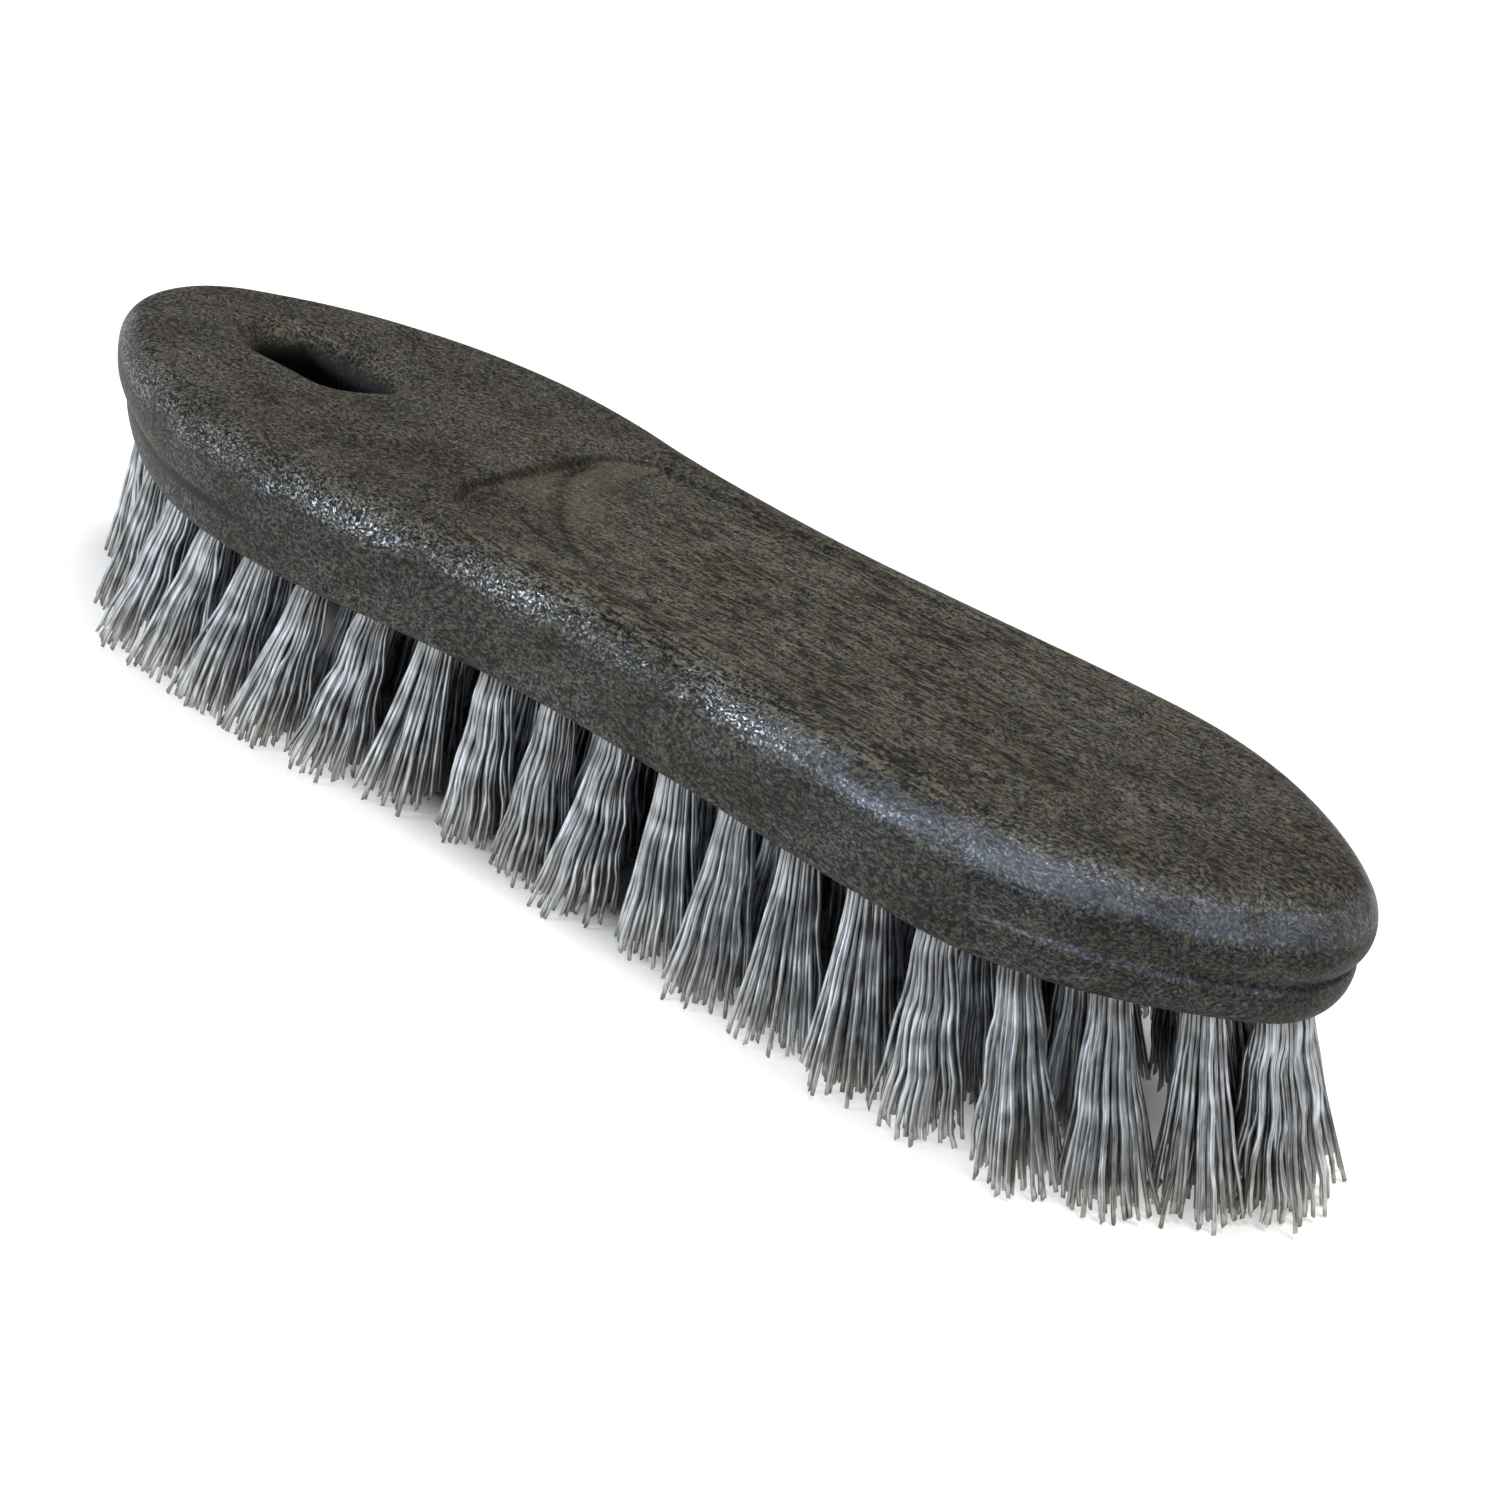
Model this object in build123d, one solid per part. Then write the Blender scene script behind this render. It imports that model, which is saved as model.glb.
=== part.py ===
from build123d import *
import os
from math import atan2, cos, degrees, pi, radians, tan

# A hand brush for grooming: one moulded plastic block that is its own handle, drilled from
# below, with tufts of stiff filament folded over flat wire anchors in the holes.
# X runs along the block from the heel, which has the hanging slot, to the nose.
# Z is up, the tips of the bristles lie in the plane z = 0, and all sizes are millimetres.

# Block, plan view
LENGTH = 208.8
HEEL_LOBE_HALF_WIDTH = 31.2  # widest half-width of the lobe with the slot
WAIST_HALF_WIDTH = 25.4
NOSE_LOBE_HALF_WIDTH = 26.4
HEEL_LOBE_X = -47.0
WAIST_X = 14.0
NOSE_LOBE_X = 62.0
HEEL_TIP_RADIUS = 16.0
NOSE_TIP_RADIUS = 14.0
LEAST_TIP_RADIUS = 4.0  # of an outline moved far inwards, as for the inner ring
HEEL_FLANK_BEND = 0.33  # where the flank turns from bulging to hollow, lobe to waist
NOSE_FLANK_BEND = 0.5  # the same, waist to lobe

# Block, side view
RIM_THICKNESS = 10.2  # upper body, which overhangs the lower one
RIM_END_RUN = 8.0  # how far from each tip the underside of the rim starts to round upwards
RIM_END_RISE = 3.2  # and how high that rounding would climb just past the tip
RIM_END_MARGIN = 0.5  # from the tip to where it would stand upright
BASE_THICKNESS = 5.4  # lower body, which holds the mouths of the tuft holes
BACK_EDGE_RADIUS = 6.0
BASE_CHAMFER = 1.7  # round the edge of the underside
BASE_HEEL_INSET = 3.0  # step under the rim at the tip of the heel
BASE_NOSE_INSET = 0.9  # the same step at the tip of the nose
BASE_SIDE_INSET = 0.3  # the same step along the sides

# Hanging slot
SLOT_X = -69.0
SLOT_LENGTH = 23.0
SLOT_WIDTH = 10.0
SLOT_BACK_RADIUS = 3.5
SLOT_UNDERSIDE_CHAMFER = 1.0

# Thumb panel sunk into the back at the waist, deepest at its heel end
PANEL_X = 7.0
PANEL_LENGTH = 64.0
PANEL_WIDTH = 36.0
PANEL_CORNER_RADIUS = 7.0
PANEL_HEEL_DEPTH = 1.1
PANEL_NOSE_DEPTH = 0.25

# Tufts and their holes
BRISTLE_LENGTH = 23.5  # underside of the block to the tips, straight down
HOLE_DIAMETER = 5.0
HOLE_DEPTH = 11.0  # along the hole
TUFT_CLEARANCE = 0.1  # all round the folded tuft in its hole
TUFT_SIDES = 8  # of the polygon that stands for a round tuft and its round hole
TRIM_ALLOWANCE = 1.4  # untrimmed length over the length straight down
TUFT_TIP_GAP = 0.8  # between neighbouring tufts at the tips
OUTER_RING_HEEL_INSET = 4.0  # tip of the base to the centre of the last tuft of the outer ring
OUTER_RING_NOSE_INSET = 6.1  # the same at the nose
OUTER_RING_SIDE_INSET = 4.6  # the same along the sides
RING_SPACING = 9.4  # outer ring to inner ring
OUTER_RING_STEPS = 21  # spaces along one half of the outer ring, heel to nose
INNER_RING_STEPS = 13
CENTRE_ROW_SPACES = 10
CENTRE_ROW_START_X = -40.0
CENTRE_ROW_END_X = 72.0
FAN_ALONG = 0.2  # degrees of outward lean for each millimetre from the middle, along X
FAN_ACROSS = 0.28  # the same across Y

# Flat wire anchors, one across the fold of each tuft
ANCHOR_WIRE_THICKNESS = 0.5
ANCHOR_WIRE_HEIGHT = 1.8
ANCHOR_END_CLEARANCE = 0.05
ANCHOR_SIDE_CLEARANCE = 0.05
FOLD_THICKNESS = 0.9  # filament between the anchor and the bottom of the hole

UNDERSIDE_Z = BRISTLE_LENGTH
STEP_Z = UNDERSIDE_Z + BASE_THICKNESS
TOP_Z = STEP_Z + RIM_THICKNESS
WIDEST = max(HEEL_LOBE_HALF_WIDTH, NOSE_LOBE_HALF_WIDTH)
FLAT_SHARE = cos(pi / TUFT_SIDES)  # of the radius of that polygon, from its middle to a flat


def oval_quarter(tip, lobe, tip_radius):
    """Two arcs from a tip on the centreline, square to it, to the widest point of its lobe."""
    reach, width = abs(lobe.X - tip.X), lobe.Y
    outwards = 1 if tip.X > lobe.X else -1
    side_radius = (reach**2 + width**2 - 2 * reach * tip_radius) / (2 * (width - tip_radius))
    tip_centre = Vector(tip.X - outwards * tip_radius, 0)
    side_centre = Vector(lobe.X, width - side_radius)
    join = tip_centre + (tip_centre - side_centre).normalized() * tip_radius
    tip_arc = TangentArc(tip, join, tangent=(0, 1))
    return [tip_arc, TangentArc(join, lobe, tangent=tip_arc % 1)]


def flank(start, end, bend_share):
    """Two arcs that leave and arrive along X and change their bend partway."""
    bend = start + (end - start) * bend_share
    first = TangentArc(start, bend, tangent=(1, 0))
    return [first, TangentArc(bend, end, tangent=first % 1)]


def half_outline(heel_inset=0.0, nose_inset=0.0, side_inset=0.0):
    """The +Y half of the block's outline in tangent arcs, heel to nose, moved inwards."""
    heel = Vector(-LENGTH / 2 + heel_inset, 0)
    heel_lobe = Vector(HEEL_LOBE_X, HEEL_LOBE_HALF_WIDTH - side_inset)
    waist = Vector(WAIST_X, WAIST_HALF_WIDTH - side_inset)
    nose_lobe = Vector(NOSE_LOBE_X, NOSE_LOBE_HALF_WIDTH - side_inset)
    nose = Vector(LENGTH / 2 - nose_inset, 0)
    return [
        *oval_quarter(heel, heel_lobe, max(HEEL_TIP_RADIUS - side_inset, LEAST_TIP_RADIUS)),
        *flank(heel_lobe, waist, HEEL_FLANK_BEND),
        *flank(waist, nose_lobe, NOSE_FLANK_BEND),
        *oval_quarter(nose, nose_lobe, max(NOSE_TIP_RADIUS - side_inset, LEAST_TIP_RADIUS)),
    ]


def outline_face(*insets):
    """The whole outline as a face in the plane z = 0."""
    half = half_outline(*insets)
    other_half = [edge.mirror(Plane.XZ) for edge in half]
    return make_face(half + other_half)


def rim_side_profile():
    """The side view of the rim run out sideways: level, but rounded up under both tips."""
    end_x = LENGTH / 2 + RIM_END_MARGIN
    corner = Vector(end_x - RIM_END_RUN, RIM_END_RISE)
    nose = EllipticalCenterArc(corner, RIM_END_RUN, RIM_END_RISE, start_angle=270, arc_size=90)
    heel = nose.mirror(Plane.YZ)
    back = Polyline(nose @ 1, (end_x, RIM_THICKNESS), (-end_x, RIM_THICKNESS), heel @ 1)
    face = make_face([nose, heel, Line(nose @ 0, heel @ 0), *back.edges()])
    return Rot(X=90) * extrude(face, WIDEST, both=True)


def make_body():
    """The moulding before its slot, thumb panel and tuft holes."""
    rim = Pos(Z=STEP_Z) * (extrude(outline_face(), RIM_THICKNESS) & rim_side_profile())
    rim = fillet(rim.faces().sort_by(Axis.Z)[-1].edges(), BACK_EDGE_RADIUS)
    base_face = outline_face(BASE_HEEL_INSET, BASE_NOSE_INSET, BASE_SIDE_INSET)
    base = Pos(Z=UNDERSIDE_Z) * extrude(base_face, BASE_THICKNESS + RIM_END_RISE)
    base = chamfer(base.faces().sort_by(Axis.Z)[0].edges(), BASE_CHAMFER)
    return rim + base


def near_slot(shape):
    """Whether an edge lies on the wall of the hanging slot."""
    middle = shape.center()
    return abs(middle.X - SLOT_X) < SLOT_LENGTH / 2 + 0.1 and abs(middle.Y) < SLOT_WIDTH / 2 + 0.1


def cut_slot(body):
    """The hanging slot, rounded over generously at the back and a little below."""
    slot = extrude(SlotOverall(SLOT_LENGTH, SLOT_WIDTH), TOP_Z)
    body -= Pos(X=SLOT_X) * slot
    back_rim = body.edges().filter_by(near_slot).filter_by(lambda e: e.center().Z > TOP_Z - 0.1)
    body = fillet(back_rim, SLOT_BACK_RADIUS)
    lower_rim = body.edges().filter_by(near_slot).group_by(Axis.Z)[0]
    return chamfer(lower_rim, SLOT_UNDERSIDE_CHAMFER)


def cut_thumb_panel(body):
    """The sunk panel in the waist, whose flat floor climbs towards the nose."""
    slope = degrees(atan2(PANEL_HEEL_DEPTH - PANEL_NOSE_DEPTH, PANEL_LENGTH))
    mean_depth = (PANEL_HEEL_DEPTH + PANEL_NOSE_DEPTH) / 2
    column = extrude(RectangleRounded(PANEL_LENGTH, PANEL_WIDTH, PANEL_CORNER_RADIUS), RIM_THICKNESS)
    return body - Pos(PANEL_X, 0, TOP_Z - mean_depth) * Rot(Y=-slope) * column


def tuft_places():
    """Where each tuft leaves the underside, as named groups of (name, [(x, y), ...]).

    The rings follow the outline of the base. Tufts off the centreline come in pairs, one on
    each side of it.
    """
    places = []

    def ring(name, inset, steps):
        ends = ("heel", "nose")
        heel_inset = BASE_HEEL_INSET + OUTER_RING_HEEL_INSET + inset
        nose_inset = BASE_NOSE_INSET + OUTER_RING_NOSE_INSET + inset
        side_inset = BASE_SIDE_INSET + OUTER_RING_SIDE_INSET + inset
        path = Wire(half_outline(heel_inset, nose_inset, side_inset))
        for step in range(steps + 1):
            spot = path.position_at(step / steps)
            if step in (0, steps):
                places.append((f"{name}_tuft_{ends[step == steps]}", [(spot.X, 0.0)]))
            else:
                pair = [(spot.X, spot.Y), (spot.X, -spot.Y)]
                places.append((f"{name}_tufts_{step:02d}", pair))

    ring("outer", 0, OUTER_RING_STEPS)
    ring("inner", RING_SPACING, INNER_RING_STEPS)
    for number in range(CENTRE_ROW_SPACES + 1):
        run = CENTRE_ROW_END_X - CENTRE_ROW_START_X
        x = CENTRE_ROW_START_X + run * number / CENTRE_ROW_SPACES
        places.append((f"centre_tuft_{number + 1:02d}", [(x, 0.0)]))
    return places


def fanned(x, y):
    """The direction of the bristles that leave the underside at (x, y)."""
    return Vector(tan(radians(FAN_ALONG * x)), tan(radians(FAN_ACROSS * y)), -1)


def hole_frame(x, y):
    """A frame at a hole's mouth whose Z runs out of the hole, along its bristles."""
    return Plane((x, y, UNDERSIDE_Z), x_dir=(0, 1, 0), z_dir=fanned(x, y)).location


def tip_radius(places):
    """The radius of a tuft at its tips, which leaves the gap between the two closest."""
    mouths = [spot for _, spots in places for spot in spots]
    tips = [Vector(x, y) + fanned(x, y) * BRISTLE_LENGTH for x, y in mouths]
    nearest = min((a - b).length for i, a in enumerate(tips) for b in tips[:i])
    return (nearest - TUFT_TIP_GAP) / 2


def round_section(radius):
    """The section of a hole or a tuft: round on the real brush, a few flats here.

    Its flats face along X and Y, so that the anchor and its slot meet them square.
    """
    return RegularPolygon(radius, TUFT_SIDES, rotation=180 / TUFT_SIDES)


def hole_cutter():
    """One blind hole, in the frame of its mouth, run on past the underside."""
    run_out = HOLE_DIAMETER
    return Pos(Z=-HOLE_DEPTH) * extrude(round_section(HOLE_DIAMETER / 2), HOLE_DEPTH + run_out)


def anchor_middle():
    """How deep in its hole an anchor lies, along the hole."""
    fold_bottom = HOLE_DEPTH - TUFT_CLEARANCE
    return fold_bottom - FOLD_THICKNESS - ANCHOR_SIDE_CLEARANCE - ANCHOR_WIRE_HEIGHT / 2


def make_anchor():
    """One staple of flat wire, set across the hole."""
    width = HOLE_DIAMETER * FLAT_SHARE - 2 * ANCHOR_END_CLEARANCE
    return Pos(Z=-anchor_middle()) * Box(ANCHOR_WIRE_THICKNESS, width, ANCHOR_WIRE_HEIGHT)


def make_tuft(far_radius):
    """One bundle, folded over its anchor: straight in the hole, then fanning out.

    It is longer than needed, and is trimmed level at z = 0 once it is in its hole.
    """
    stem_radius = HOLE_DIAMETER / 2 - TUFT_CLEARANCE
    stem = extrude(round_section(stem_radius), -(HOLE_DEPTH - TUFT_CLEARANCE))
    end = BRISTLE_LENGTH * TRIM_ALLOWANCE
    end_radius = stem_radius + (far_radius - stem_radius) * TRIM_ALLOWANCE
    spread = degrees(atan2((end_radius - stem_radius) * FLAT_SHARE, end))
    fan = Pos(Z=end) * Rot(X=180) * extrude(round_section(end_radius), end, taper=spread)
    slot = Box(
        ANCHOR_WIRE_THICKNESS + 2 * ANCHOR_SIDE_CLEARANCE,
        HOLE_DIAMETER,
        ANCHOR_WIRE_HEIGHT + 2 * ANCHOR_SIDE_CLEARANCE,
    )
    return stem + fan - Pos(Z=-anchor_middle()) * slot


def write(name, solids):
    """Write one sub-part, as one solid or as a group of separate ones."""
    shape = solids[0] if len(solids) == 1 else Compound(solids)
    export_step(shape, f"parts/{name}.step")


def main():
    os.makedirs("parts", exist_ok=True)
    places = tuft_places()
    frames = [hole_frame(x, y) for _, spots in places for x, y in spots]

    block = cut_thumb_panel(cut_slot(make_body()))
    block -= [frame * hole_cutter() for frame in frames]
    write("block", block.solids())

    bundle = make_tuft(tip_radius(places))
    above_tips = extrude(Rectangle(2 * LENGTH, 4 * WIDEST), TOP_Z)
    anchor = make_anchor()
    anchors = {}
    for name, spots in places:
        trimmed = [(hole_frame(x, y) * bundle) & above_tips for x, y in spots]
        write(name, [tuft.solid() for tuft in trimmed])
        ring = name.split("_")[0]
        anchors.setdefault(f"{ring}_anchors", []).extend(hole_frame(x, y) * anchor for x, y in spots)
    for name, group in anchors.items():
        write(name, group)


main()
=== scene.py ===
import math

import bpy
import numpy as np
from mathutils import Matrix, Vector, noise


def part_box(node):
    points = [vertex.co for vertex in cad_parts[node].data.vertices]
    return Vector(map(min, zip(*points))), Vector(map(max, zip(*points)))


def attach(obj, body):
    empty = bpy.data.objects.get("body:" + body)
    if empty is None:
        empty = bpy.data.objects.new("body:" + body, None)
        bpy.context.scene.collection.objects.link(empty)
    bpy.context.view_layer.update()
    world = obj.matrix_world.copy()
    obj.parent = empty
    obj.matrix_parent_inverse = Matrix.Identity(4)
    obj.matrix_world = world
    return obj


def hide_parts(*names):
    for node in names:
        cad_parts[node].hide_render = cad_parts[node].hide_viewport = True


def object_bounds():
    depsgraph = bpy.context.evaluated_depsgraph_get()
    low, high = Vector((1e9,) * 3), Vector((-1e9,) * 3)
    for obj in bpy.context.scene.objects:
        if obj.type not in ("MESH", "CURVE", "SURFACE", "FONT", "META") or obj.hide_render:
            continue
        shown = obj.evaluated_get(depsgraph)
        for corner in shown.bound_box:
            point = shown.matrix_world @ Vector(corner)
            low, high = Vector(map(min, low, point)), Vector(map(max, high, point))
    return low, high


# A tufted grooming brush: a moulded block with a leather-like grain, and fanned tufts of filament.
# The scene is in metres. Shapes are worked out in millimetres, with x along the block from its
# heel to its nose, y across it and z upwards, and MM scales them when a mesh is made.
MM = 0.001

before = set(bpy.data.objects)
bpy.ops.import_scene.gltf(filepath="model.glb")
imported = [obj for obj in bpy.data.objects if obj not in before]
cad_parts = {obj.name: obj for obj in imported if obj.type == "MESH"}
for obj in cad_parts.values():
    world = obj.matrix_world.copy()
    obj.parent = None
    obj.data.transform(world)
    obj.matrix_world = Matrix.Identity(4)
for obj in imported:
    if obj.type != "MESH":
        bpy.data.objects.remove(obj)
cad_box = [list(corner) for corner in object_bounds()]

BLOCK = "block"
block_low, block_high = (np.array(corner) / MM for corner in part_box(BLOCK))
LENGTH = block_high[0] - block_low[0]
UNDERSIDE = block_low[2]
THICKNESS = block_high[2] - block_low[2]

# The outline of the block, as in its CAD model
HEEL_LOBE = np.array([-47.0, 31.2])
WAIST = np.array([14.0, 25.4])
NOSE_LOBE = np.array([62.0, 26.4])
HEEL_TIP_RADIUS = 16.0
NOSE_TIP_RADIUS = 14.0
HEEL_FLANK_BEND = 0.33
NOSE_FLANK_BEND = 0.5

# The side wall, with levels over the underside. At both ends a groove parts the rim from the base.
WALL_MIDDLE = 8.5
WALL_BULGE = 0.15
GROOVE_DEPTH = 2.3
GROOVE_LEVEL = 5.7
GROOVE_SHADE_LEVEL = 5.3
RIM_WIDEST = 9.3
RIM_ROUND = 3.6
BASE_WIDEST = 4.4
BASE_ROUND = 1.3

# The rounded corners of the block and of its hanging slot
SHOULDER_ACROSS = 6.2
SHOULDER_UP = 6.1
BOTTOM_ACROSS = 1.5
BOTTOM_UP = 1.6
SLOT_LIP = 3.5
SLOT_FOOT = 1.2

SLOT_X = -69.0
SLOT_LENGTH = 23.0
SLOT_WIDTH = 10.0

# The thumb panel sunk in the back, and the two folds that cross it
PANEL_HEEL_X = -25.2
PANEL_NOSE_X = 38.0
PANEL_NEAR_Y = -20.2
PANEL_FAR_Y = 17.7
PANEL_DEPTH = 1.15
PANEL_RISE = 0.85  # how much shallower the panel is at its nose end
FOLD = [(-24.6, 9.5), (-23.6, 5.2), (-19.0, -1.2), (-12.4, -7.6), (-4.9, -12.0), (10.1, -18.6)]
SECOND_FOLD = [(-17.5, 9.0), (-16.9, 4.3), (-7.8, -1.5), (4.3, -6.2), (20.0, -11.5)]

BLOCK_CELL = 0.62  # the spacing of the block's mesh
GRID_MARGIN = 1.5  # round the block, of the grid that its mesh is made in
WAVE_HEIGHT = 0.10  # of the moulded surface's slow unevenness


# ---------------------------------------------------------------- outline


def step(low, high, value):
    """0 below low, 1 above high, and smooth between."""
    share = np.clip((value - low) / (high - low), 0.0, 1.0)
    return share * share * (3.0 - 2.0 * share)


def line(distance, width):
    """1 on a line and 0 well beside it, from the distance to the line."""
    return np.exp(-np.square(distance / width))


def turned(vector):
    """A vector in the plane, turned left by a right angle."""
    return np.array([-vector[1], vector[0]])


def tangent_arc(start, end, direction):
    """The arc from start, leaving along direction, to end, and its direction there."""
    normal = turned(direction)
    chord = end - start
    radius = chord @ chord / (2 * normal @ chord)
    centre = start + normal * radius
    return (centre, abs(radius), start, end), turned(end - centre) / radius


def oval_quarter(tip, lobe, tip_radius):
    """Two arcs from a tip of the block to the widest place of the lobe beside it."""
    reach, width = abs(lobe[0] - tip[0]), lobe[1]
    side_radius = (reach**2 + width**2 - 2 * reach * tip_radius) / (2 * (width - tip_radius))
    tip_centre = np.array([tip[0] - math.copysign(tip_radius, tip[0]), 0.0])
    side_centre = np.array([lobe[0], width - side_radius])
    away = tip_centre - side_centre
    join = tip_centre + away / np.linalg.norm(away) * tip_radius
    first, direction = tangent_arc(tip, join, np.array([0.0, 1.0]))
    return [first, tangent_arc(join, lobe, direction)[0]]


def flank(start, end, bend_share):
    """An S of two arcs from start to end, lengthways at both, that turns part of the way along."""
    bend = start + (end - start) * bend_share
    first, direction = tangent_arc(start, bend, np.array([1.0, 0.0]))
    return [first, tangent_arc(bend, end, direction)[0]]


HALF_OUTLINE = [
    *oval_quarter(np.array([-LENGTH / 2, 0.0]), HEEL_LOBE, HEEL_TIP_RADIUS),
    *flank(HEEL_LOBE, WAIST, HEEL_FLANK_BEND),
    *flank(WAIST, NOSE_LOBE, NOSE_FLANK_BEND),
    *oval_quarter(np.array([LENGTH / 2, 0.0]), NOSE_LOBE, NOSE_TIP_RADIUS),
]


def arc_points(arc, count=160):
    """Points evenly spaced along an arc."""
    centre, radius, start, end = arc
    start_angle, end_angle = (math.atan2(*(place - centre)[::-1]) for place in (start, end))
    turn = (end_angle - start_angle + math.pi) % (2 * math.pi) - math.pi
    angles = start_angle + turn * np.linspace(0, 1, count)
    return centre + radius * np.stack([np.cos(angles), np.sin(angles)], 1)


RIM_LINE = np.concatenate([arc_points(arc) for arc in HALF_OUTLINE])
RIM_LINE = RIM_LINE[np.argsort(RIM_LINE[:, 0])]


def inwards(x, y):
    """How far a place in the plan lies inside the outline, below 0 outside it."""
    place = np.stack([x, np.abs(y)], 1)
    best = np.full(len(x), np.inf)
    for centre, radius, start, end in HALF_OUTLINE:
        out = place - centre
        far = np.linalg.norm(out, axis=1)
        middle = (start + end) / 2 - centre
        middle = middle / np.linalg.norm(middle)
        reach = (start - centre) @ middle / radius
        on_arc = out @ middle >= reach * far
        ends = np.minimum(
            np.linalg.norm(place - start, axis=1), np.linalg.norm(place - end, axis=1)
        )
        best = np.minimum(best, np.where(on_arc, np.abs(far - radius), ends))
    half_width = np.interp(x, RIM_LINE[:, 0], RIM_LINE[:, 1], left=-1.0, right=-1.0)
    return np.where(np.abs(y) < half_width, best, -best)


# ---------------------------------------------------------------- block shape


def wall_inset(z, tips, nose):
    """How far in from the outline the side wall lies at height z.

    tips is 1 at both ends and 0 along the sides, and nose is 1 at the nose end.
    """
    side = WALL_BULGE * np.square((z - WALL_MIDDLE) / WALL_MIDDLE)
    under_rim = np.clip((RIM_WIDEST - z) / RIM_ROUND, 0.0, 1.0)
    rim = GROOVE_DEPTH * (1.0 - np.sqrt(1.0 - np.square(under_rim)))
    base_inset = 1.6 - 0.7 * nose
    foot_inset = 0.5 + 0.6 * nose
    over_base = np.clip((z - BASE_WIDEST) / BASE_ROUND, 0.0, 1.0)
    base = base_inset + (GROOVE_DEPTH - base_inset) * (1.0 - np.sqrt(1.0 - np.square(over_base)))
    base += foot_inset * np.square(np.clip(1.0 - z / BASE_WIDEST, 0.0, 1.0))
    end = np.where(z > GROOVE_LEVEL, rim, base)
    return side + (end - side) * tips


def inside_heel_end(x, y):
    """How far a place lies inside the panel's heel end, which curves in at its two corners."""
    far_corner = 0.08 * np.square(np.maximum(y - 9.0, 0.0))
    near_corner = 0.09 * np.square(np.minimum(y + 10.0, 0.0))
    return x - PANEL_HEEL_X - (far_corner + near_corner)


def panel_mask(x, y):
    """1 on the thumb panel and 0 off it: crisp at its heel end and far side, soft at the others."""
    heel_end = step(-0.85, 0.85, inside_heel_end(x, y))
    far_side = step(-0.9, 0.9, PANEL_FAR_Y - y)
    near_side = step(-3.0, 5.0, y - PANEL_NEAR_Y)
    nose_end = step(-5.0, 5.0, PANEL_NOSE_X - x)
    return heel_end * far_side * near_side * nose_end


def beside(x, y, points):
    """The signed distance from a broken line, above 0 on its left."""
    best = np.full(len(x), np.inf)
    side = np.ones(len(x))
    for start, end in zip(points[:-1], points[1:]):
        run = np.array(end) - np.array(start)
        dx, dy = x - start[0], y - start[1]
        along = np.clip((dx * run[0] + dy * run[1]) / (run @ run), 0.0, 1.0)
        far = np.hypot(dx - along * run[0], dy - along * run[1])
        near = far < best
        side = np.where(near, np.sign(run[0] * dy - run[1] * dx), side)
        best = np.where(near, far, best)
    return best * side


def back_height(x, y, depth):
    """Height of the back over the underside, with its crown, thumb panel and folds."""
    crown = 0.12 * (1.0 - step(0.0, 24.0, depth))
    along = step(-26.0, 36.0, x)
    mask = panel_mask(x, y)
    sunk = mask * (PANEL_DEPTH - PANEL_RISE * along)
    fold = beside(x, y, FOLD)
    second = beside(x, y, SECOND_FOLD)
    creases = 0.22 * line(fold, 0.7) * (1.0 - step(-6.0, 12.0, x))
    creases += 0.14 * line(second, 0.9) * (1.0 - step(0.0, 22.0, x))
    leaf = 0.22 * step(0.0, 5.0, fold) * (1.0 - step(-3.0, 3.0, second)) * (1.0 - along)
    ridge = 0.10 * line(y + 20.4, 0.9) * step(-21.0, -14.0, x) * (1.0 - step(0.0, 20.0, x))
    return THICKNESS - crown - sunk - creases * mask + leaf * mask + ridge


def slot_distance(x, y):
    """How far a place lies outside the throat of the hanging slot."""
    straight = (SLOT_LENGTH - SLOT_WIDTH) / 2
    return np.hypot(np.maximum(np.abs(x - SLOT_X) - straight, 0.0), y) - SLOT_WIDTH / 2


def rounded(inset, rise, across, up):
    """A rounded corner of a given size across and up, from the two distances to its faces."""
    inset_share = np.maximum(across - inset, 0.0) / across
    rise_share = np.maximum(up + rise, 0.0) / up
    return (np.sqrt(inset_share * inset_share + rise_share * rise_share) - 1.0) * up


def block_field(place):
    """Below 0 inside the block and above 0 outside; z is the height over the underside."""
    x, y, z = place.T
    depth = inwards(x, y)
    nose = step(-20.0, 20.0, x)
    tips = step(LENGTH / 2 - 50.0 + 14.0 * nose, LENGTH / 2 - 14.0 + 5.0 * nose, np.abs(x))
    wall = depth - wall_inset(z, tips, nose)
    rise = z - back_height(x, y, depth)
    shoulder_across = SHOULDER_ACROSS + tips * (nose - 0.7)
    shoulder_up = SHOULDER_UP + tips * (0.8 * nose - 0.5)
    top = rounded(wall, rise, shoulder_across, shoulder_up)
    bottom = rounded(wall, -z, BOTTOM_ACROSS - 0.7 * tips, BOTTOM_UP + 1.5 * tips)
    throat = slot_distance(x, y)
    far_side = step(-4.5, 5.0, y)
    lip = rounded(throat, rise, SLOT_LIP + 4.0 * far_side, SLOT_LIP + 1.5 * far_side)
    foot = rounded(throat, -z, SLOT_FOOT, SLOT_FOOT)
    return np.maximum(np.maximum(top, bottom), np.maximum(lip, foot))


# ---------------------------------------------------------------- meshes


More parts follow.
